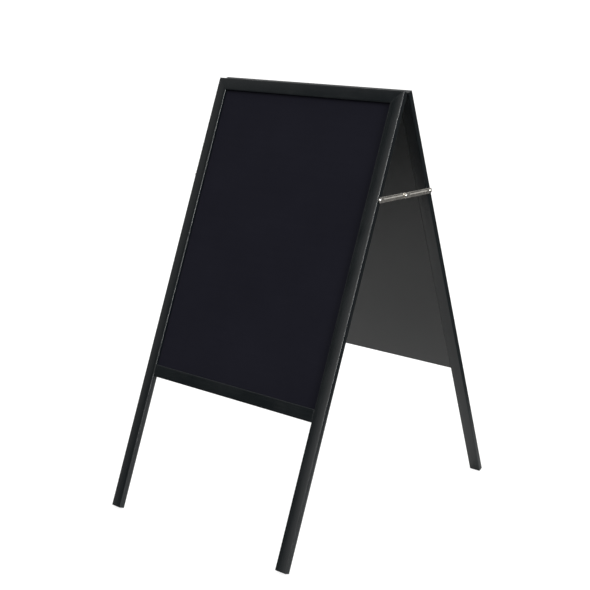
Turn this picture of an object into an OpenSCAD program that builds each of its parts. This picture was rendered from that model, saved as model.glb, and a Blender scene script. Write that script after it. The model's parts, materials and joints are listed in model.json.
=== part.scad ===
// Folding sandwich board: two framed boards hinged together along their top
// rails, held open by a two-link folding stay on each side.
// X runs across the boards, the front frame leans toward -Y, +Z is up and
// Z = 0 is the pavement under the open sign.

/* [Frames] */
// Overall width of each frame across its two stiles
frame_w = 600; // [480:10:760]
// Length of each stile, from the mitred top corner to the leg end
stile_l = 1170; // [1000:10:1300]
// Face width of the stiles and rails
member_w = 32; // [30:1:44]
// Thickness of the stiles and rails
member_t = 16; // [16:1:20]
// Distance from the top corner down to the lower edge of the bottom rail
rail_low = 815; // [640:5:900]
// Radius on the four long edges of each member
arris_r = 1.5; // [1:0.25:2]
// Radius of the gentle curve of each member's outward face
face_r = 260; // [200:10:600]

/* [Panels] */
// Depth of the panel's face behind the frame's outward face
board_setback = 7.5; // [6:0.5:8]
// Thickness of the tongue round the panel's edge
tongue_t = 5; // [4:0.5:6]
// Depth of the groove that holds the tongue in the stiles and top rail
groove_d = 8; // [6:0.5:9]

/* [Opening] */
// Angle between the two frames when the stays are straight
open_angle = 42; // [36:1:46]

/* [Stays] */
// Distance from the top corner down to the stay's end pivots
stay_drop = 266; // [220:2:320]
// Distance from a stile's inner face out to the stay's end pivot
stay_in = 6; // [6:0.5:9]
// Width of the stay's flat links
stay_w = 14; // [12:0.5:15]
// Thickness of the stay's flat links
stay_t = 1.5; // [1.2:0.1:1.8]

/* [Hinges] */
// Length of each butt hinge along the top rail
hinge_l = 60; // [50:2:80]
// Distance from the middle of the sign to the middle of each hinge
hinge_x = 190; // [120:5:200]
// Height of each hinge leaf down the rail's inner face
leaf_h = 20; // [18:1:22]

/* [Hidden] */

half = open_angle / 2;
// Hinge pin position above and between the two top inner edges
pin_up = 1.6;
pin_gap = 1.5;
knuckle_r = 2.6;
pin_r = 1.3;
leaf_t = 1.25;
run = 0.05;      // radial running clearance round pins and shanks
seam = 0.06;     // half the hairline gap of a glued joint
air = 0.3;       // gap between bodies that move past each other
hinge_z = (pin_up + stile_l) * cos(half) - pin_gap * sin(half);

// Panel: its front edges carry a tongue that fills the grooves, its back is
// flush with the frame's inner face, and it runs down behind the bottom rail
fit_gap = 0.1;
tongue_w = frame_w - 2 * member_w + 2 * (groove_d - 0.5);
tongue_top = -(member_w - groove_d + 0.5);
panel_face = member_t - board_setback;

// Stay: end pivot height and half the distance between the end pivots
stay_z = hinge_z - (pin_up + stay_drop) * cos(half) + (pin_gap + stay_in) * sin(half);
stay_y = (pin_up + stay_drop) * sin(half) + (pin_gap + stay_in) * cos(half);
// Layers of the stay, counted outward from the stile's side
front_in = 1.6;
rib_h = 0.8;
rear_in = front_in + stay_t + rib_h + air;
shank_r = 2;
head_r = 4.4;

black = [0.17, 0.18, 0.18];
panel_black = [0.11, 0.11, 0.135];
zinc = [0.55, 0.55, 0.53];
steel = [0.62, 0.62, 0.6];
beech = [0.75, 0.62, 0.45];

// Places a child drawn in frame coordinates: X across, -Y outward from the
// frame's inner face, Z = 0 at the top corner and -Z down the stile.
module front_place() {
  translate([0, 0, hinge_z]) rotate([-half, 0, 0]) translate([0, -pin_gap, -pin_up]) children();
}
module rear_place() { mirror([0, 1, 0]) front_place() children(); }
module both_sides() { children(); mirror([1, 0, 0]) children(); }

// Section of a member: x = 0 is the sight edge, y = 0 the inner face
module section() {
  intersection() {
    union() {
      translate([arris_r, 0]) square([member_w - 2 * arris_r, member_t]);
      translate([0, arris_r]) square([member_w, member_t - 2 * arris_r]);
      for (x = [arris_r, member_w - arris_r], y = [arris_r, member_t - arris_r])
        translate([x, y]) circle(r = arris_r, $fn = 32);
    }
    translate([6, member_t - face_r]) circle(r = face_r, $fn = 200);
  }
}

module groove() {
  translate([-tongue_w / 2 - 0.5, -panel_face - fit_gap, -rail_low - fit_gap])
    cube([tongue_w + 1, tongue_t + 2 * fit_gap, tongue_top + 0.5 + rail_low + fit_gap]);
}

// Block above the mitre line of the right-hand corner, or below it
module mitre_block(above) {
  e = seam * sqrt(2);
  x1 = frame_w / 2;
  translate([0, 10, 0]) rotate([90, 0, 0]) linear_extrude(member_t + 20)
    if (above)
      polygon([[x1 + 20, 20 - e], [x1 - member_w - 20, -member_w - 20 - e], [x1 - member_w - 20, 40]]);
    else
      polygon([[x1 + 20, 20 + e], [x1 - member_w - 20, -member_w - 20 + e], [x1 + 20, -member_w - 40]]);
}

// Dowel across the mitre, inside the wood
mitre_dowel_r = 2.5;
mitre_dowel_l = 20;
module mitre_dowel_bar(r, l) {
  translate([frame_w / 2 - member_w / 2, -member_t / 2, -member_w / 2])
    rotate([0, 135, 0]) translate([0, 0, -l / 2]) cylinder(r = r, h = l, $fn = 32);
}

// Screw axis of a stay's end pivot, child drawn along +Z from the stile's side
module stay_axis() {
  translate([frame_w / 2, -stay_in, -stay_drop]) rotate([0, 90, 0]) children();
}

module stile() {
  difference() {
    translate([frame_w / 2 - member_w, 0, -stile_l]) mirror([0, 1, 0]) linear_extrude(stile_l) section();
    mitre_block(true);
    groove();
    mitre_dowel_bar(mitre_dowel_r + run, mitre_dowel_l + 1);
    stay_axis() translate([0, 0, -15]) cylinder(r = shank_r + run, h = 16, $fn = 32);
  }
}

hinge_screw_x = [-21, 0, 21];
hinge_screw_z = -12;
module hinge_screw_axes() {
  for (h = [-hinge_x, hinge_x], s = hinge_screw_x)
    translate([h + s, leaf_t, hinge_screw_z]) rotate([90, 0, 0]) children();
}
module hinge_screw_body(c) {
  // Countersunk head flush with the leaf, then the shank and its point
  cylinder(r1 = 3 + c, r2 = 1.5 + c, h = 1.5, $fn = 32);
  cylinder(r = 1.5 + c, h = 9 + c, $fn = 32);
  translate([0, 0, 9 + c]) cylinder(r1 = 1.5 + c, r2 = 0.3, h = 2, $fn = 32);
}

module top_rail() {
  difference() {
    translate([-frame_w / 2, 0, -member_w]) rotate([180, -90, 0]) linear_extrude(frame_w) section();
    both_sides() mitre_block(false);
    groove();
    both_sides() mitre_dowel_bar(mitre_dowel_r + run, mitre_dowel_l + 1);
    hinge_screw_axes() hinge_screw_body(run);
  }
}

// Bottom rail: a strip with the same face, planted on the panel between the
// stiles
module bottom_rail() {
  l = frame_w - 2 * member_w - 4 * seam;
  translate([l / 2, 0, -rail_low + member_w]) rotate([180, 90, 0]) linear_extrude(l)
    intersection() {
      section();
      translate([-1, panel_face + seam]) square([member_w + 2, member_t]);
    }
}

module panel() {
  sight = frame_w - 2 * member_w - 2 * fit_gap;
  translate([-tongue_w / 2, -panel_face, -rail_low])
    cube([tongue_w, tongue_t, tongue_top + rail_low]);
  translate([-sight / 2, -panel_face, -rail_low])
    cube([sight, panel_face - 0.1, rail_low - member_w - fit_gap]);
}

// Hinge leaf with its knuckles; ends = true gives the two end knuckles
module hinge_leaf(ends) {
  k = hinge_l / 6;
  translate([0, 0, 0]) difference() {
    union() {
      difference() {
        translate([-hinge_l / 2, 0.05, -leaf_h]) cube([hinge_l, leaf_t - 0.05, leaf_h + pin_up]);
        // Room for the other leaf's knuckles
        if (ends)
          translate([-k - air / 2, pin_gap, pin_up]) rotate([0, 90, 0])
            cylinder(r = knuckle_r + air, h = 2 * k + air, $fn = 48);
        else
          both_sides() translate([k - air / 2, pin_gap, pin_up]) rotate([0, 90, 0])
            cylinder(r = knuckle_r + air, h = 2 * k + 1, $fn = 48);
      }
      if (ends)
        both_sides() translate([k + air / 2, pin_gap, pin_up]) rotate([0, 90, 0])
          cylinder(r = knuckle_r, h = 2 * k - air / 2, $fn = 48);
      else
        translate([-k + air / 2, pin_gap, pin_up]) rotate([0, 90, 0])
          cylinder(r = knuckle_r, h = 2 * k - air, $fn = 48);
    }
    translate([-hinge_l, pin_gap, pin_up]) rotate([0, 90, 0])
      cylinder(r = pin_r + run, h = 2 * hinge_l, $fn = 48);
    for (s = hinge_screw_x) translate([s, leaf_t, hinge_screw_z]) rotate([90, 0, 0])
      hinge_screw_body(run);
  }
}
module hinge_leaves(ends) {
  for (h = [-hinge_x, hinge_x]) translate([h, 0, 0]) hinge_leaf(ends);
}

module cross_slot(l, d) {
  for (a = [0, 90]) rotate([0, 0, a]) translate([-l / 2, -0.4, -1]) cube([l, 0.8, d + 1]);
}

module hinge_screws() {
  hinge_screw_axes() difference() {
    hinge_screw_body(0);
    cross_slot(3, 0.7);
  }
}

// Low dome of rim radius r and height h
module dome(r, h) {
  R = (r * r + h * h) / (2 * h);
  intersection() {
    translate([0, 0, h - R]) sphere(r = R, $fn = 64);
    cylinder(r = r, h = h + 1, $fn = 48);
  }
}

// Round-head screw through one stay link; seat is the link's outer face
module stay_screw(seat) {
  difference() {
    union() {
      translate([0, 0, -12]) cylinder(r = shank_r, h = 12 + seat + air + 0.2, $fn = 32);
      translate([0, 0, -14.5]) cylinder(r1 = 0.4, r2 = shank_r, h = 2.5, $fn = 32);
      translate([0, 0, seat + air]) dome(head_r, 1.7);
    }
    translate([0, 0, seat + air + 1.7]) mirror([0, 0, 1]) cross_slot(3.6, 0.8);
  }
}
module stay_washer(h) {
  difference() {
    translate([0, 0, 0.03]) cylinder(r = 5, h = h - air - 0.03, $fn = 48);
    translate([0, 0, -1]) cylinder(r = shank_r + run, h = h + 2, $fn = 32);
  }
}

// Link drawn along +Y from its end pivot, thickness from x = 0 outward,
// with a raised rib along its middle
module stay_link() {
  difference() {
    union() {
      translate([0, 0, -stay_w / 2]) cube([stay_t, stay_y, stay_w]);
      for (y = [0, stay_y]) translate([0, y, 0]) rotate([0, 90, 0])
        cylinder(r = stay_w / 2, h = stay_t, $fn = 64);
      intersection() {
        translate([stay_t + rib_h - 3, 0, 0]) union() {
          translate([0, 14, 0]) rotate([-90, 0, 0]) cylinder(r = 3, h = stay_y - 28, $fn = 48);
          for (y = [14, stay_y - 14]) translate([0, y, 0]) sphere(r = 3, $fn = 48);
        }
        translate([stay_t / 2, 0, -4]) cube([4, stay_y, 8]);
      }
    }
    for (y = [0, stay_y]) translate([-1, y, 0]) rotate([0, 90, 0])
      cylinder(r = shank_r + run, h = stay_t + 2, $fn = 32);
  }
}
module right_front_link() {
  translate([frame_w / 2 + front_in, -stay_y, stay_z]) stay_link();
}
module right_rear_link() {
  translate([frame_w / 2 + rear_in, stay_y, stay_z]) mirror([0, 1, 0]) stay_link();
}
// Middle pivot: the tail and collar turn with the front link, the head with
// the rear link
module right_rivet_tail() {
  translate([frame_w / 2 + front_in, 0, stay_z]) rotate([0, 90, 0]) {
    translate([0, 0, -0.9]) cylinder(r = 3.4, h = 0.85, $fn = 48);
    translate([0, 0, -0.5]) cylinder(r = shank_r, h = stay_t + 1, $fn = 32);
    translate([0, 0, stay_t + 0.05]) cylinder(r = 4, h = rib_h - 0.05, $fn = 48);
  }
}
module right_rivet_head() {
  translate([frame_w / 2 + rear_in, 0, stay_z]) rotate([0, 90, 0]) {
    cylinder(r = shank_r, h = stay_t + 0.3, $fn = 32);
    translate([0, 0, stay_t + 0.05]) dome(3.8, 1.6);
  }
}

module front_left_stile() { color(black) front_place() mirror([1, 0, 0]) stile(); }
module front_right_stile() { color(black) front_place() stile(); }
module front_top_rail() { color(black) front_place() top_rail(); }
module front_bottom_rail() { color(black) front_place() bottom_rail(); }
module front_panel() { color(panel_black) front_place() panel(); }
module front_mitre_dowels() { color(beech) front_place() both_sides() mitre_dowel_bar(mitre_dowel_r, mitre_dowel_l); }
module front_hinge_leaves() { color(steel) front_place() hinge_leaves(true); }
module front_hinge_screws() { color(zinc) front_place() hinge_screws(); }
module front_stay_screws() { color(zinc) front_place() both_sides() stay_axis() stay_screw(front_in + stay_t); }
module front_stay_washers() { color(zinc) front_place() both_sides() stay_axis() stay_washer(front_in); }

module rear_left_stile() { color(black) rear_place() mirror([1, 0, 0]) stile(); }
module rear_right_stile() { color(black) rear_place() stile(); }
module rear_top_rail() { color(black) rear_place() top_rail(); }
module rear_bottom_rail() { color(black) rear_place() bottom_rail(); }
module rear_panel() { color(panel_black) rear_place() panel(); }
module rear_mitre_dowels() { color(beech) rear_place() both_sides() mitre_dowel_bar(mitre_dowel_r, mitre_dowel_l); }
module rear_hinge_leaves() { color(steel) rear_place() hinge_leaves(false); }
module rear_hinge_screws() { color(zinc) rear_place() hinge_screws(); }
module rear_stay_screws() { color(zinc) rear_place() both_sides() stay_axis() stay_screw(rear_in + stay_t); }
module rear_stay_spacers() { color(zinc) rear_place() both_sides() stay_axis() stay_washer(rear_in); }

module hinge_pins() {
  color(steel) for (h = [-hinge_x, hinge_x])
    translate([h - hinge_l / 2, 0, hinge_z]) rotate([0, 90, 0]) cylinder(r = pin_r, h = hinge_l, $fn = 48);
}

module right_stay_front_link() { color(zinc) right_front_link(); }
module right_stay_rear_link() { color(zinc) right_rear_link(); }
module right_stay_rivet_tail() { color(steel) right_rivet_tail(); }
module right_stay_rivet_head() { color(steel) right_rivet_head(); }
module left_stay_front_link() { color(zinc) mirror([1, 0, 0]) right_front_link(); }
module left_stay_rear_link() { color(zinc) mirror([1, 0, 0]) right_rear_link(); }
module left_stay_rivet_tail() { color(steel) mirror([1, 0, 0]) right_rivet_tail(); }
module left_stay_rivet_head() { color(steel) mirror([1, 0, 0]) right_rivet_head(); }

front_left_stile();
front_right_stile();
front_top_rail();
front_bottom_rail();
front_panel();
front_mitre_dowels();
front_hinge_leaves();
front_hinge_screws();
front_stay_screws();
front_stay_washers();
rear_left_stile();
rear_right_stile();
rear_top_rail();
rear_bottom_rail();
rear_panel();
rear_mitre_dowels();
rear_hinge_leaves();
rear_hinge_screws();
rear_stay_screws();
rear_stay_spacers();
hinge_pins();
right_stay_front_link();
right_stay_rear_link();
right_stay_rivet_tail();
right_stay_rivet_head();
left_stay_front_link();
left_stay_rear_link();
left_stay_rivet_tail();
left_stay_rivet_head();
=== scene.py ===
import json
import math

import bmesh
import bpy
from mathutils import Matrix, Vector


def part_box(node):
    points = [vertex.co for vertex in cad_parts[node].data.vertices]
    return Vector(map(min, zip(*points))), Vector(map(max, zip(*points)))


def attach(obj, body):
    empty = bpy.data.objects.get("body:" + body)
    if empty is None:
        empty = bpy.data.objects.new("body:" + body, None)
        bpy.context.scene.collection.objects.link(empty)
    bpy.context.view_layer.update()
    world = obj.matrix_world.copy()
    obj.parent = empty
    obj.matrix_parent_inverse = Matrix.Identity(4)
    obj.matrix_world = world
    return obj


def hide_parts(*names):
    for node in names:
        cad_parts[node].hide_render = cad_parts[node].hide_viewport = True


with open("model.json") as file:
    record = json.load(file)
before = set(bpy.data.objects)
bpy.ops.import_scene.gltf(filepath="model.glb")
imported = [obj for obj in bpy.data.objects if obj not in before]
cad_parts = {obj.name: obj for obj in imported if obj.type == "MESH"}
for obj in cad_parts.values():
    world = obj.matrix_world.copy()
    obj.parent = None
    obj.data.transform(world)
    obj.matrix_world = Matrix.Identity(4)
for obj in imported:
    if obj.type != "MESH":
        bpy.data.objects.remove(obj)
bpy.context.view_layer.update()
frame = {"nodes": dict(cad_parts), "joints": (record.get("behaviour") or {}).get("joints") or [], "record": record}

rec = frame["record"]
fold = [j for j in frame["joints"] if j["name"] == "fold"][0]
link_joint = [j for j in frame["joints"] if j["name"] == "right_front_link_turn"][0]

# ---------------------------------------------------------------- design sizes
MM = 0.001
TH = math.radians(fold["range_deg"][1]) / 2
PIN_Z = fold["pos_m"][2]
lo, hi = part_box("front_left_stile")
W2 = -lo.x                       # half the frame width
MW = hi.x - lo.x                 # member width
MT = 16 * MM                     # member thickness
PU, PG = 1.6 * MM, 1.5 * MM      # pin above and between the inner top edges
L = (PIN_Z + PG * math.sin(TH)) / math.cos(TH) - PU
RAIL_LOW = 815 * MM
AR = 1.5 * MM
FACE_R = 260 * MM
SEAM = 0.06 * MM
TONGUE_W, TONGUE_T = 551 * MM, 5 * MM
TONGUE_TOP = -24.5 * MM
PANEL_FACE = 8.5 * MM            # panel's face in front of the frame's inner face
STAY_Y = -link_joint["pos_m"][1]
STAY_Z = link_joint["pos_m"][2]
STAY_W, STAY_T, RIB = 14 * MM, 1.5 * MM, 0.8 * MM
FRONT_IN, REAR_IN = 1.6 * MM, 4.2 * MM
PIN_R, RUN, AIR = 2 * MM, 0.05 * MM, 0.3 * MM

FRONT = Matrix.Translation((0, 0, PIN_Z)) @ Matrix.Rotation(-TH, 4, "X") @ Matrix.Translation((0, -PG, -PU))
REAR = Matrix.Rotation(math.pi, 4, "Z") @ FRONT
PLACE = {"front": FRONT, "rear": REAR}


# ---------------------------------------------------------------- mesh helpers
def new_object(name, bm, smooth=35):
    bmesh.ops.recalc_face_normals(bm, faces=bm.faces)
    me = bpy.data.meshes.new(name)
    bm.to_mesh(me)
    bm.free()
    ob = bpy.data.objects.new(name, me)
    bpy.context.scene.collection.objects.link(ob)
    for p in me.polygons:
        p.use_smooth = True
    me.set_sharp_from_angle(angle=math.radians(smooth))
    return ob


def section(b_min=0.0):
    """Member section as (a, b) points: a = 0 sight edge to MW outer edge, b = 0 inner face to MT outward face.
    With b_min it is only the strip in front of that depth."""
    pts = []
    n = 5
    # outward face as a shallow arc centred 6 mm in from the sight edge
    def face_b(a):
        return MT - FACE_R + math.sqrt(FACE_R ** 2 - (a - 6 * MM) ** 2)
    if b_min:
        pts += [(0.0, b_min), (MW * 0.25, b_min), (MW * 0.75, b_min), (MW, b_min)]
    for cx, cy, a0 in (() if b_min else ((AR, AR, 180), (MW - AR, AR, 270))):
        for i in range(n + 1):
            t = math.radians(a0 + 90 * i / n)
            pts.append((cx + AR * math.cos(t), cy + AR * math.sin(t)))
    top_r = face_b(MW - AR) - AR
    for i in range(n + 1):
        t = math.radians(90 * i / n)
        pts.append((MW - AR + AR * math.cos(t), top_r + AR * math.sin(t)))
    for k in range(1, 10):
        a = MW - AR - (MW - 2 * AR) * k / 10
        pts.append((a, face_b(a)))
    top_l = face_b(AR) - AR
    for i in range(n + 1):
        t = math.radians(90 + 90 * i / n)
        pts.append((AR + AR * math.cos(t), top_l + AR * math.sin(t)))
    return pts


def inset(pts, c):
    out = []
    m = len(pts)
    for i in range(m):
        p, q, r = Vector(pts[i - 1]), Vector(pts[i]), Vector(pts[(i + 1) % m])
        t = (r - p).normalized()
        out.append((q.x - t.y * c, q.y + t.x * c))
    return out


def member(name, to_local, end0, end1, breaks, stations, b_min=0.0):
    """Sweeps the section from end0(a) to end1(a). to_local maps (a, b, along) to frame coordinates.
    breaks gives the rounding at each end."""
    base = section(b_min)
    rings = []

    def ring(pts, fn):
        return [to_local(a, b, fn(a)) for a, b in pts]

    c0, c1 = breaks
    for k, (c, s) in enumerate(((c0, 0.0), (c0 * 0.3, 0.3 * c0), (0.0, c0))):
        rings.append(ring(inset(base, c), lambda a, s=s: end0(a) + s))
    # a ring close to each end keeps the rounding out of the long faces' shading
    near = 0.8 * MM
    rings.append(ring(base, lambda a: end0(a) + c0 + near))
    for i in range(1, stations):
        f = i / stations
        rings.append(ring(base, lambda a, f=f: (end0(a) + c0) * (1 - f) + (end1(a) - c1) * f))
    rings.append(ring(base, lambda a: end1(a) - c1 - near))
    for c, s in ((0.0, c1), (c1 * 0.3, 0.3 * c1), (c1, 0.0)):
        rings.append(ring(inset(base, c), lambda a, s=s: end1(a) - s))
    bm = bmesh.new()
    vs = [[bm.verts.new(p) for p in r] for r in rings]
    m = len(base)
    for r in range(len(vs) - 1):
        for i in range(m):
            bm.faces.new((vs[r][i], vs[r][(i + 1) % m], vs[r + 1][(i + 1) % m], vs[r + 1][i]))
    bm.faces.new(vs[0])
    bm.faces.new(list(reversed(vs[-1])))
    return new_object(name, bm, 40)


def subtract(ob, cutter_bm, smooth):
    me = bpy.data.meshes.new("cutter")
    bmesh.ops.recalc_face_normals(cutter_bm, faces=cutter_bm.faces)
    cutter_bm.to_mesh(me)
    cutter_bm.free()
    cutter = bpy.data.objects.new("cutter", me)
    bpy.context.scene.collection.objects.link(cutter)
    mod = ob.modifiers.new("cut", "BOOLEAN")
    mod.operation = "DIFFERENCE"
    mod.object = cutter
    mod.solver = "EXACT"
    dg = bpy.context.evaluated_depsgraph_get()
    done = bpy.data.meshes.new_from_object(ob.evaluated_get(dg))
    ob.modifiers.clear()
    ob.data = done
    bpy.data.objects.remove(cutter)
    # the cut leaves doubled points along its rim
    bm = bmesh.new()
    bm.from_mesh(done)
    bmesh.ops.remove_doubles(bm, verts=bm.verts, dist=0.004 * MM)
    bmesh.ops.dissolve_degenerate(bm, edges=bm.edges, dist=0.002 * MM)
    bm.to_mesh(done)
    bm.free()
    for p in done.polygons:
        p.use_smooth = True
    done.set_sharp_from_angle(angle=math.radians(smooth))


def cut_groove(ob):
    c = 0.1 * MM
    bm = bmesh.new()
    bmesh.ops.create_cube(bm, size=1.0)
    x, z0, z1 = TONGUE_W / 2 + 0.5 * MM, -RAIL_LOW - c, TONGUE_TOP + 0.5 * MM
    y0, y1 = -PANEL_FACE - c, -PANEL_FACE + TONGUE_T + c
    for v in bm.verts:
        v.co = Vector((x * (1 if v.co.x > 0 else -1), y1 if v.co.y > 0 else y0, z1 if v.co.z > 0 else z0))
    subtract(ob, bm, 40)


def stile_map(side):
    # a runs out from the sight edge, along is Z in frame coordinates
    def f(a, b, z):
        return Vector((side * (W2 - MW + a), -b, z))
    return f


def build_members():
    out = {}
    e = SEAM * math.sqrt(2)
    for face in ("front", "rear"):
        made = []
        for side, word in ((-1, "left"), (1, "right")):
            # the rear frame is the front one turned about Z, so its sides swap
            s = side if face == "front" else -side
            ob = member(f"{face}_{word}_stile_wood", stile_map(s), lambda a: -L,
                        lambda a: -(MW - a) - e, (0.9 * MM, 0.22 * MM), 24)
            made.append((ob, f"{face}_{word}_stile"))
        ob = member(f"{face}_top_rail_wood", lambda a, b, x: Vector((x, -b, -MW + a)),
                    lambda a: -(W2 - MW + a) + e, lambda a: (W2 - MW + a) - e, (0.22 * MM, 0.22 * MM), 14)
        made.append((ob, f"{face}_top_rail"))
        half = W2 - MW - 2 * SEAM
        ob = member(f"{face}_bottom_rail_wood", lambda a, b, x: Vector((x, -b, -RAIL_LOW + MW - a)),
                    lambda a: -half, lambda a: half, (0.22 * MM, 0.22 * MM), 14, PANEL_FACE + SEAM)
        made.append((ob, f"{face}_bottom_rail"))
        for ob, node in made:
            if "bottom" not in node:
                cut_groove(ob)
            ob.data.transform(PLACE[face])
            ob.data.update()
            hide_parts(node)
            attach(ob, f"{face}_frame")
            out[node] = ob
    return out


def build_panels():
    """Board with a tongue round its sides and top; slot 0 is the painted face and the tongue, slot 1 the back."""
    out = {}
    half, step = TONGUE_W / 2, 7.6 * MM
    y0, y1, y2 = -PANEL_FACE, -PANEL_FACE + TONGUE_T, -0.1 * MM
    low, top = -RAIL_LOW, TONGUE_TOP
    for face in ("front", "rear"):
        bm = bmesh.new()

        def loop(y, k):
            return [bm.verts.new(p) for p in ((-half + k, y, low), (-half + k, y, top - k), (half - k, y, top - k), (half - k, y, low))]

        a, b, c, d = loop(y0, 0), loop(y1, 0), loop(y1, step), loop(y2, step)
        painted = [bm.faces.new(a)]
        for u, v in ((a, b), (b, c)):
            painted += [bm.faces.new((u[i], v[i], v[i + 1], u[i + 1])) for i in range(3)]
        back = [bm.faces.new((c[i], d[i], d[i + 1], c[i + 1])) for i in range(3)]
        back.append(bm.faces.new(list(reversed(d))))
        back.append(bm.faces.new((a[0], a[3], b[3], c[3], d[3], d[0], c[0], b[0])))
        for f in back:
            f.material_index = 1
        edges = [e for e in bm.edges if {e.verts[0], e.verts[1]} == {d[0], d[3]}]
        bmesh.ops.bevel(bm, geom=edges, offset=0.5 * MM, segments=3, affect="EDGES", profile=0.5)
        bmesh.ops.recalc_face_normals(bm, faces=bm.faces)
        ob = new_object(f"{face}_panel_board", bm, 30)
        ob.data.transform(PLACE[face])
        ob.data.update()
        node_name = f"{face}_panel"
        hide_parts(node_name)
        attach(ob, f"{face}_frame")
        out[node_name] = ob
    return out


def stay_link(name, side, front):
    """Pressed link: a stadium outline with rounded rims and a rib that is raised on the
    outer side and hollow on the inner side."""
    R = STAY_W / 2
    length = STAY_Y
    insets = [0.0, 0.05, 0.16, 0.35, 0.8, 1.6, 2.6, 3.4, 4.0, 4.6, 5.2, 5.8, 6.4, 6.85]
    arc, run = 20, 54

    def outline(r):
        pts = []
        for i in range(arc + 1):
            t = math.radians(180 + 180 * i / arc)
            pts.append((r * math.sin(t - math.pi / 2) * 0 + r * math.cos(t), 0 + r * math.sin(t)))
        for i in range(1, run):
            pts.append((r, length * i / run))
        for i in range(arc + 1):
            t = math.radians(180 * i / arc)
            pts.append((r * math.cos(t), length + r * math.sin(t)))
        for i in range(1, run):
            pts.append((-r, length * (1 - i / run)))
        return pts

    def rib(z, y):
        w = 3.0 * MM
        if abs(z) >= w:
            return 0.0
        across = 0.5 + 0.5 * math.cos(math.pi * z / w)
        across = across ** 0.8
        d = min(y, length - y)
        t = min(1.0, max(0.0, (d - 10.5 * MM) / (5.5 * MM)))
        return RIB * across * t * t * (3 - 2 * t)

    def rim(d):
        # edge rounding of radius 0.35 mm, d is the distance in from the outline
        q = 0.35 * MM
        if d >= q:
            return 0.0
        return q - math.sqrt(max(0.0, q * q - (q - d) ** 2))

    bm = bmesh.new()
    tops, bots = [], []
    for k in insets:
        d = k * MM
        pts = outline(R - d)
        tops.append([bm.verts.new((STAY_T - rim(d) + rib(z, y), y, z)) for z, y in pts])
        bots.append([bm.verts.new((rim(d) + 0.92 * rib(z, y), y, z)) for z, y in pts])
    m = len(tops[0])
    for rows in (tops, bots):
        for r in range(len(rows) - 1):
            for i in range(m):
                bm.faces.new((rows[r][i], rows[r][(i + 1) % m], rows[r + 1][(i + 1) % m], rows[r + 1][i]))
        # close the narrow slot left along the middle
        inner = rows[-1]
        n_arc = arc + 1
        right = inner[arc:arc + run + 1]
        left = [inner[0]] + [inner[m - 1 - i] for i in range(run - 1)] + [inner[n_arc + run - 1 + arc]]
        for i in range(run):
            bm.faces.new((left[i], right[i], right[i + 1], left[i + 1]))
        bm.faces.new(inner[0:arc + 1])
        bm.faces.new(inner[arc + run:arc + run + arc + 1])
    for i in range(m):
        bm.faces.new((tops[0][i], tops[0][(i + 1) % m], bots[0][(i + 1) % m], bots[0][i]))
    ob = new_object(name, bm, 50)
    x = W2 + (FRONT_IN if front else REAR_IN)
    for v in ob.data.vertices:
        y = v.co.y - length if front else length - v.co.y
        v.co = Vector((side * (x + v.co.x), y, STAY_Z + v.co.z))
    if (side < 0) != (not front):
        ob.data.flip_normals()
    ob.data.update()
    holes = bmesh.new()
    for y in (0.0, -length if front else length):
        r = PIN_R + RUN
        add_turned(holes, [(0, -1 * MM), (r, -1 * MM), (r, 3 * MM), (0, 3 * MM)], x, side, y, STAY_Z, 40)
    subtract(ob, holes, 50)
    return ob


def add_turned(bm, profile, x0, side, y0, z0, seg=56):
    """Turned solid with its axis along X. profile is (radius, distance out) points that start and end on the axis."""
    rings = []
    for r, h in profile:
        at = (side * (x0 + h), y0, z0)
        if r == 0:
            rings.append([bm.verts.new(at)])
        else:
            rings.append([bm.verts.new((at[0], y0 + r * math.cos(math.tau * i / seg), z0 + r * math.sin(math.tau * i / seg)))
                          for i in range(seg)])
    for a, b in zip(rings, rings[1:]):
        for i in range(seg):
            j = (i + 1) % seg
            if len(a) == 1:
                bm.faces.new((a[0], b[j], b[i]))
            elif len(b) == 1:
                bm.faces.new((a[i], a[j], b[0]))
            else:
                bm.faces.new((a[i], a[j], b[j], b[i]))


def dome(r, h, base):
    """Low dome of rim radius r and height h, with its rim just broken."""
    big = (r * r + h * h) / (2 * h)
    k = math.asin(r / big)
    pts = [(r - 0.20 * MM, base), (r - 0.11 * MM, base + 0.02 * MM), (r - 0.07 * MM, base + 0.06 * MM)]
    for i in range(1, 14):
        t = k * (1 - i / 14)
        pts.append((big * math.sin(t), base + big * math.cos(t) - big + h))
    return pts + [(0, base + h)]


def add_cross(bm, x0, side, y0, z0, turn, out, depth):
    """Tapered cross recess, its open end at distance out."""
    rings = []
    for h, a, w in ((out - depth, 1.15 * MM, 0.22 * MM), (out + 0.5 * MM, 1.75 * MM, 0.33 * MM)):
        pts = [(a, w), (w, w), (w, a), (-w, a), (-w, w), (-a, w), (-a, -w), (-w, -w), (-w, -a), (w, -a), (w, -w), (a, -w)]
        rings.append([bm.verts.new((side * (x0 + h), y0 + p * math.cos(turn) - q * math.sin(turn),
                                    z0 + p * math.sin(turn) + q * math.cos(turn))) for p, q in pts])
    for i in range(12):
        j = (i + 1) % 12
        bm.faces.new((rings[0][i], rings[0][j], rings[1][j], rings[1][i]))
    for v in rings:
        bm.faces.new((v[1], v[4], v[7], v[10]))
        for wing in ((0, 1, 10, 11), (2, 3, 4, 1), (5, 6, 7, 4), (8, 9, 10, 7)):
            bm.faces.new([v[i] for i in wing])


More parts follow.
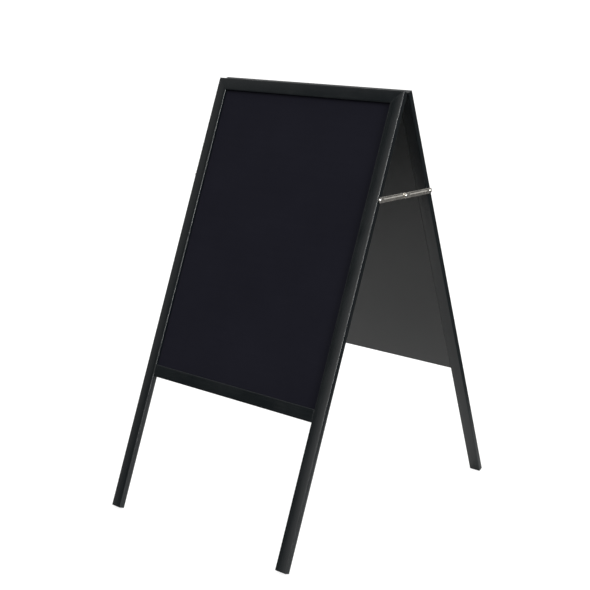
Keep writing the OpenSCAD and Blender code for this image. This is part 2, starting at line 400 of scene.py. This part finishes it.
def build_heads():
    """Round-head screws through the stays' ends, and the rivets' domed heads."""
    out = {}
    for face, inner, y, turns in (("front", FRONT_IN, -STAY_Y, (0.35, 1.1)), ("rear", REAR_IN, STAY_Y, (0.9, 0.2))):
        node = f"{face}_stay_screws"
        seat = inner + STAY_T + AIR
        bm, cuts = bmesh.new(), bmesh.new()
        shank = [(0, -14.5 * MM), (0.4 * MM, -14.5 * MM), (PIN_R, -12 * MM), (PIN_R, seat)]
        for side, turn in zip((-1, 1), turns):
            add_turned(bm, shank + dome(4.4 * MM, 1.7 * MM, seat), W2, side, y, STAY_Z)
            add_cross(cuts, W2, side, y, STAY_Z, turn, seat + 1.7 * MM, 0.8 * MM)
        ob = new_object(node + "_turned", bm, 35)
        subtract(ob, cuts, 35)
        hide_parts(node)
        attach(ob, f"{face}_frame")
        out[node] = ob
    for side, word in ((1, "right"), (-1, "left")):
        node = f"{word}_stay_rivet_head"
        bm = bmesh.new()
        add_turned(bm, [(0, 0), (PIN_R - 0.15 * MM, 0), (PIN_R, 0.15 * MM), (PIN_R, STAY_T + 0.05 * MM)]
                   + dome(3.8 * MM, 1.6 * MM, STAY_T + 0.05 * MM), W2 + REAR_IN, side, 0, STAY_Z)
        ob = new_object(node + "_turned", bm, 35)
        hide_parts(node)
        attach(ob, f"{word}_rear_link")
        out[node] = ob
    return out


def build_links():
    out = {}
    for side, word in ((1, "right"), (-1, "left")):
        for front, end in ((True, "front"), (False, "rear")):
            node = f"{word}_stay_{end}_link"
            ob = stay_link(node + "_pressed", side, front)
            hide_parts(node)
            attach(ob, f"{word}_{end}_link")
            out[node] = ob
    return out


# ---------------------------------------------------------------- materials
def start(name):
    m = bpy.data.materials.new(name)
    m.use_nodes = True
    nt = m.node_tree
    b = nt.nodes["Principled BSDF"]
    return m, nt, b


def node(nt, kind, inputs=(), **props):
    n = nt.nodes.new(kind)
    for k, v in props.items():
        setattr(n, k, v)
    for k, v in dict(inputs).items():
        n.inputs[k].default_value = v
    return n


def coords(nt, rot=(0, 0, 0), scale=(1, 1, 1)):
    tc = node(nt, "ShaderNodeTexCoord")
    mp = node(nt, "ShaderNodeMapping", {"Rotation": rot, "Scale": (1, 1, 1)})
    nt.links.new(tc.outputs["Object"], mp.inputs["Vector"])
    mp2 = node(nt, "ShaderNodeMapping", {"Scale": scale})
    nt.links.new(mp.outputs["Vector"], mp2.inputs["Vector"])
    return mp, mp2


def noise(nt, vec, scale, detail=2.0, rough=0.5):
    n = node(nt, "ShaderNodeTexNoise", {"Scale": scale, "Detail": detail, "Roughness": rough})
    nt.links.new(vec, n.inputs["Vector"])
    return n.outputs["Fac"]


def remap(nt, fac, a, b, c, d):
    n = node(nt, "ShaderNodeMapRange", {"From Min": a, "From Max": b, "To Min": c, "To Max": d})
    nt.links.new(fac, n.inputs["Value"])
    return n.outputs["Result"]


def mix_color(nt, fac, c1, c2):
    n = node(nt, "ShaderNodeMix", data_type="RGBA")
    nt.links.new(fac, n.inputs[0])
    for socket, c in ((n.inputs[6], c1), (n.inputs[7], c2)):
        if hasattr(c, "links"):
            nt.links.new(c, socket)
        else:
            socket.default_value = (*c, 1)
    return n.outputs[2]


def bump(nt, height, strength, distance, normal=None):
    n = node(nt, "ShaderNodeBump", {"Strength": strength, "Distance": distance})
    nt.links.new(height, n.inputs["Height"])
    if normal is not None:
        nt.links.new(normal, n.inputs["Normal"])
    return n.outputs["Normal"]


def lacquer(name, rot_x, along, seed):
    """Satin black lacquer over close-grained timber. along is 'Z' for a stile, 'X' for a rail."""
    m, nt, b = start(name)
    k = {"Z": (900.0, 900.0, 16.0), "X": (16.0, 900.0, 900.0)}[along]
    flat, grain = coords(nt, (rot_x, 0, 0), k)
    flat.inputs["Location"].default_value = (seed * 1.7, seed * 0.9, seed * 2.3)
    g = noise(nt, grain.outputs["Vector"], 1.0, 4.0, 0.6)
    fine = noise(nt, flat.outputs["Vector"], 1600.0, 2.0, 0.5)
    cloud = noise(nt, flat.outputs["Vector"], 14.0, 3.0, 0.55)
    # colour: near black with a slight green-grey cast, a little lighter on the grain's ridges
    col = mix_color(nt, remap(nt, g, 0.3, 0.75, 0, 1), (0.0016, 0.0032, 0.0042), (0.0036, 0.0055, 0.0067))
    col = mix_color(nt, remap(nt, cloud, 0.45, 0.8, 0, 0.2), col, (0.0072, 0.0089, 0.0099))
    nt.links.new(col, b.inputs["Base Color"])
    r = node(nt, "ShaderNodeMath", operation="ADD")
    nt.links.new(remap(nt, cloud, 0.3, 0.7, 0.17, 0.23), r.inputs[0])
    nt.links.new(remap(nt, g, 0.3, 0.7, -0.02, 0.05), r.inputs[1])
    nt.links.new(r.outputs[0], b.inputs["Roughness"])
    b.inputs["Specular IOR Level"].default_value = 0.5
    n1 = bump(nt, g, 0.10, 0.00012)
    n2 = bump(nt, fine, 0.05, 0.00008, n1)
    nt.links.new(n2, b.inputs["Normal"])
    return m


def board_paint(name, rot_x):
    """Very matt blue-black board paint, rolled on along the board."""
    m, nt, b = start(name)
    flat, streak = coords(nt, (rot_x, 0, 0), (6.0, 60.0, 60.0))
    fine = noise(nt, flat.outputs["Vector"], 900.0, 3.0, 0.6)
    cloud = noise(nt, flat.outputs["Vector"], 5.0, 4.0, 0.6)
    roll = noise(nt, streak.outputs["Vector"], 1.0, 3.0, 0.5)
    col = mix_color(nt, remap(nt, cloud, 0.3, 0.75, 0, 1), (0.0066, 0.0066, 0.0109), (0.0083, 0.0083, 0.0134))
    col = mix_color(nt, remap(nt, fine, 0.35, 0.75, 0, 0.4), col, (0.0089, 0.0089, 0.0141))
    nt.links.new(col, b.inputs["Base Color"])
    nt.links.new(remap(nt, roll, 0.3, 0.7, 0.74, 0.84), b.inputs["Roughness"])
    b.inputs["Specular IOR Level"].default_value = 0.06
    n1 = bump(nt, fine, 0.22, 0.00012)
    n2 = bump(nt, roll, 0.10, 0.0002, n1)
    nt.links.new(n2, b.inputs["Normal"])
    return m


def board_back(name, rot_x):
    """Smooth black lacquered back of the board, sprayed with the frame and a touch flatter."""
    m, nt, b = start(name)
    flat, streak = coords(nt, (rot_x, 0, 0), (16.0, 40.0, 16.0))
    fine = noise(nt, flat.outputs["Vector"], 1100.0, 2.0, 0.5)
    cloud = noise(nt, flat.outputs["Vector"], 9.0, 4.0, 0.55)
    mist = noise(nt, streak.outputs["Vector"], 1.0, 3.0, 0.5)
    col = mix_color(nt, remap(nt, fine, 0.3, 0.7, 0, 1), (0.0054, 0.0066, 0.0068), (0.0078, 0.0092, 0.0094))
    col = mix_color(nt, remap(nt, cloud, 0.45, 0.8, 0, 0.2), col, (0.0105, 0.0119, 0.0119))
    nt.links.new(col, b.inputs["Base Color"])
    nt.links.new(remap(nt, mist, 0.3, 0.7, 0.345, 0.375), b.inputs["Roughness"])
    b.inputs["Specular IOR Level"].default_value = 0.5
    nt.links.new(bump(nt, fine, 0.10, 0.0001), b.inputs["Normal"])
    return m


def zinc(name, tone, rough, brush=None, rot_x=0.0):
    """Zinc-plated steel. brush is the scale vector of the polishing lines, or None for a tumbled finish."""
    m, nt, b = start(name)
    flat, lines = coords(nt, (rot_x, 0, 0), brush or (1500, 1500, 1500))
    g = noise(nt, lines.outputs["Vector"], 1.0, 3.0, 0.6)
    cloud = noise(nt, flat.outputs["Vector"], 45.0, 3.0, 0.55)
    dark = tuple(c * 0.84 for c in tone)
    col = mix_color(nt, remap(nt, cloud, 0.35, 0.7, 0, 1), dark, tone)
    nt.links.new(col, b.inputs["Base Color"])
    b.inputs["Metallic"].default_value = 1.0
    r = node(nt, "ShaderNodeMath", operation="ADD")
    nt.links.new(remap(nt, cloud, 0.3, 0.7, rough - 0.03, rough + 0.04), r.inputs[0])
    nt.links.new(remap(nt, g, 0.3, 0.7, -0.02, 0.03), r.inputs[1])
    nt.links.new(r.outputs[0], b.inputs["Roughness"])
    nt.links.new(bump(nt, g, 0.06, 0.00003), b.inputs["Normal"])
    return m


def beech(name):
    m, nt, b = start(name)
    flat, grain = coords(nt, (0, 0, 0), (60, 900, 900))
    g = noise(nt, grain.outputs["Vector"], 1.0, 4.0, 0.6)
    nt.links.new(mix_color(nt, g, (0.38, 0.23, 0.12), (0.62, 0.44, 0.27)), b.inputs["Base Color"])
    nt.links.new(remap(nt, g, 0.3, 0.7, 0.55, 0.7), b.inputs["Roughness"])
    nt.links.new(bump(nt, g, 0.2, 0.0002), b.inputs["Normal"])
    return m


def dress(ob, mat):
    ob.data.materials.clear()
    ob.data.materials.append(mat)


members = build_members()
panels = build_panels()
links = build_links()
heads = build_heads()

seed = 1
for name, ob in members.items():
    rear = name.startswith("rear")
    rot = -TH if rear else TH
    dress(ob, lacquer("lacquer_" + name, rot, "Z" if "stile" in name else "X", seed))
    seed += 1

for node_name, ob in panels.items():
    rot = -TH if node_name.startswith("rear") else TH
    ob.data.materials.append(board_paint("paint_" + node_name, rot))
    ob.data.materials.append(board_back("back_" + node_name, rot))

link_zinc = zinc("stay_zinc_brushed", (0.90, 0.87, 0.81), 0.25, (2600, 40, 2600))
for ob in links.values():
    dress(ob, link_zinc)
rivet = zinc("rivet_zinc", (0.82, 0.81, 0.78), 0.20)
screw = zinc("screw_zinc", (0.82, 0.81, 0.78), 0.20)
leaf = zinc("hinge_zinc", (0.60, 0.60, 0.58), 0.30, (60, 2600, 2600))
wood = beech("dowel_beech")
for name, ob in heads.items():
    dress(ob, rivet if "rivet" in name else screw)
for name, ob in frame["nodes"].items():
    if name in members or name in links or name in panels or name in heads:
        continue
    if "dowel" in name:
        dress(ob, wood)
    elif "rivet" in name:
        dress(ob, rivet)
    elif "leaves" in name or "pins" in name:
        dress(ob, leaf)
    else:
        dress(ob, screw)

# ---------------------------------------------------------------- stage
bm = bmesh.new()
bmesh.ops.create_grid(bm, x_segments=8, y_segments=8, size=400)
floor = new_object("floor", bm)
# White floor round the object as the camera sees it. The floor that reflections see is a painted pool of light: pale
# round the object and fading to dark grey further out, where only its reflection counts. This stands in for light
# falling off away from the object
m, nt, b = start("floor_pale")
nt.nodes.remove(b)
mout = [n for n in nt.nodes if n.type == "OUTPUT_MATERIAL"][0]
tc = node(nt, "ShaderNodeTexCoord")
far = node(nt, "ShaderNodeVectorMath", operation="LENGTH")
shift = node(nt, "ShaderNodeVectorMath", operation="ADD")
shift.inputs[1].default_value = (0.1, -0.1, 0)
nt.links.new(tc.outputs["Object"], shift.inputs[0])
nt.links.new(shift.outputs[0], far.inputs[0])
plain = node(nt, "ShaderNodeBsdfDiffuse", {"Color": (0.88, 0.88, 0.88, 1)})
painted_light_pool = node(nt, "ShaderNodeBsdfDiffuse")
# painted pool of light: the colour reflection rays see is pale near the object and near black further out
nt.links.new(mix_color(nt, remap(nt, far.outputs["Value"], 0.3, 1.25, 0, 1), (0.66, 0.66, 0.66), (0.08, 0.08, 0.08)), painted_light_pool.inputs["Color"])
glow = node(nt, "ShaderNodeEmission", {"Color": (1, 1, 1, 1), "Strength": 1.15})
seen_floor = node(nt, "ShaderNodeMixShader", {0: 0.68})
nt.links.new(plain.outputs[0], seen_floor.inputs[1])
nt.links.new(glow.outputs[0], seen_floor.inputs[2])
lp = node(nt, "ShaderNodeLightPath")
both = node(nt, "ShaderNodeMixShader")
nt.links.new(lp.outputs["Is Camera Ray"], both.inputs[0])
nt.links.new(painted_light_pool.outputs[0], both.inputs[1])
nt.links.new(seen_floor.outputs[0], both.inputs[2])
nt.links.new(both.outputs[0], mout.inputs["Surface"])
dress(floor, m)

# Studio surround: soft white with a low front light and a narrow strip far to the right
world = bpy.data.worlds.new("studio")
bpy.context.scene.world = world
world.use_nodes = True
nt = world.node_tree
nt.nodes.clear()
out = node(nt, "ShaderNodeOutputWorld")
tc = node(nt, "ShaderNodeTexCoord")
sep = node(nt, "ShaderNodeSeparateXYZ")
nt.links.new(tc.outputs["Generated"], sep.inputs[0])


def math_node(op, a, b=None, clamp=False):
    n = node(nt, "ShaderNodeMath", operation=op, use_clamp=clamp)
    for i, v in enumerate((a, b)):
        if v is None:
            continue
        if hasattr(v, "links"):
            nt.links.new(v, n.inputs[i])
        else:
            n.inputs[i].default_value = v
    return n.outputs[0]


x, y, z = sep.outputs[0], sep.outputs[1], sep.outputs[2]
# the back half is the front half turned round at lower strength, so the rear board is lit the same way
front_half = math_node("LESS_THAN", y, 0.0)
turn = math_node("SUBTRACT", math_node("MULTIPLY", front_half, 2.0), 1.0)
share = math_node("ADD", math_node("MULTIPLY", front_half, 0.4), 0.6)
azim = math_node("ARCTAN2", math_node("MULTIPLY", x, turn), math_node("ABSOLUTE", y))     # 0 toward -Y, positive toward +X
elev = math_node("ARCSINE", z)


def smooth(v, a, b, c, d):
    n = node(nt, "ShaderNodeMapRange", {"From Min": math.radians(a), "From Max": math.radians(b), "To Min": c, "To Max": d}, interpolation_type="SMOOTHSTEP")
    nt.links.new(v, n.inputs["Value"])
    return n.outputs["Result"]


def smooth_y(v, a, b, c, d):
    n = node(nt, "ShaderNodeMapRange", {"From Min": a, "From Max": b, "To Min": c, "To Max": d}, interpolation_type="SMOOTHSTEP")
    nt.links.new(v, n.inputs["Value"])
    return n.outputs["Result"]


def window(v, a, b, c, d):
    return math_node("MULTIPLY", smooth(v, a, b, 0, 1), smooth(v, c, d, 1, 0))


base = 0.44
right_light = math_node("MULTIPLY", math_node("MULTIPLY", window(azim, -38, -14, 8, 40), window(elev, 0, 18, 38, 55)), 1.5)
strip = math_node("MULTIPLY", math_node("MULTIPLY", window(azim, 66, 72, 80, 86), window(elev, 0, 6, 18, 30)), 32.0)
gap = math_node("MULTIPLY", math_node("MULTIPLY", window(azim, -51.5, -44.5, -35, -26), window(elev, -30, 0, 40, 60)), -0.38)
top = math_node("MULTIPLY", math_node("MULTIPLY", smooth(elev, 35, 60, 0, 1), smooth_y(y, -0.35, 0.35, 0.3, 1)), 1.6)
lights = math_node("MULTIPLY", math_node("ADD", right_light, strip), share)
level = math_node("ADD", math_node("ADD", math_node("ADD", lights, math_node("MULTIPLY", gap, front_half)), top), base)
level = math_node("MAXIMUM", level, 0.03)
surround = node(nt, "ShaderNodeBackground", {"Color": (1, 0.995, 0.985, 1)})
nt.links.new(level, surround.inputs["Strength"])
seen = node(nt, "ShaderNodeBackground", {"Color": (1, 1, 1, 1), "Strength": 1.1})
lp = node(nt, "ShaderNodeLightPath")
mixs = node(nt, "ShaderNodeMixShader")
nt.links.new(lp.outputs["Is Camera Ray"], mixs.inputs[0])
nt.links.new(surround.outputs[0], mixs.inputs[1])
nt.links.new(seen.outputs[0], mixs.inputs[2])
nt.links.new(mixs.outputs[0], out.inputs[0])


def area(name, loc, aim, size, power, color=(1, 1, 1)):
    d = bpy.data.lights.new(name, "AREA")
    d.shape = "RECTANGLE"
    d.size, d.size_y = size
    d.energy = power
    d.color = color
    o = bpy.data.objects.new(name, d)
    bpy.context.scene.collection.objects.link(o)
    o.location = loc
    o.rotation_euler = (Vector(aim) - Vector(loc)).to_track_quat("-Z", "Y").to_euler()
    return o


area("key", (2.2, -1.4, 3.4), (0, 0, 0.5), (1.8, 1.8), 45)

# ---------------------------------------------------------------- camera
cam = bpy.data.cameras.new("camera")
cam.sensor_width = 36
cam.lens = 1218.58 / 590 * 36
cam.clip_end = 1500
co = bpy.data.objects.new("camera", cam)
bpy.context.scene.collection.objects.link(co)
az, el, roll = math.radians(39.717), math.radians(14.058), 0.0122
back = Vector((math.sin(az) * math.cos(el), -math.cos(az) * math.cos(el), math.sin(el)))
right = (-back).cross(Vector((0, 0, 1))).normalized()
down = (-back).cross(right)
r2 = right * math.cos(roll) - down * math.sin(roll)
d2 = right * math.sin(roll) + down * math.cos(roll)
rot = Matrix((r2, -d2, back)).transposed()
co.matrix_world = Matrix.Translation((1.9705, -2.4236, PIN_Z + 0.2336)) @ rot.to_4x4()
bpy.context.scene.camera = co
bpy.context.scene.view_settings.view_transform = "Standard"      # plain colours, no film curve

bpy.context.view_layer.update()
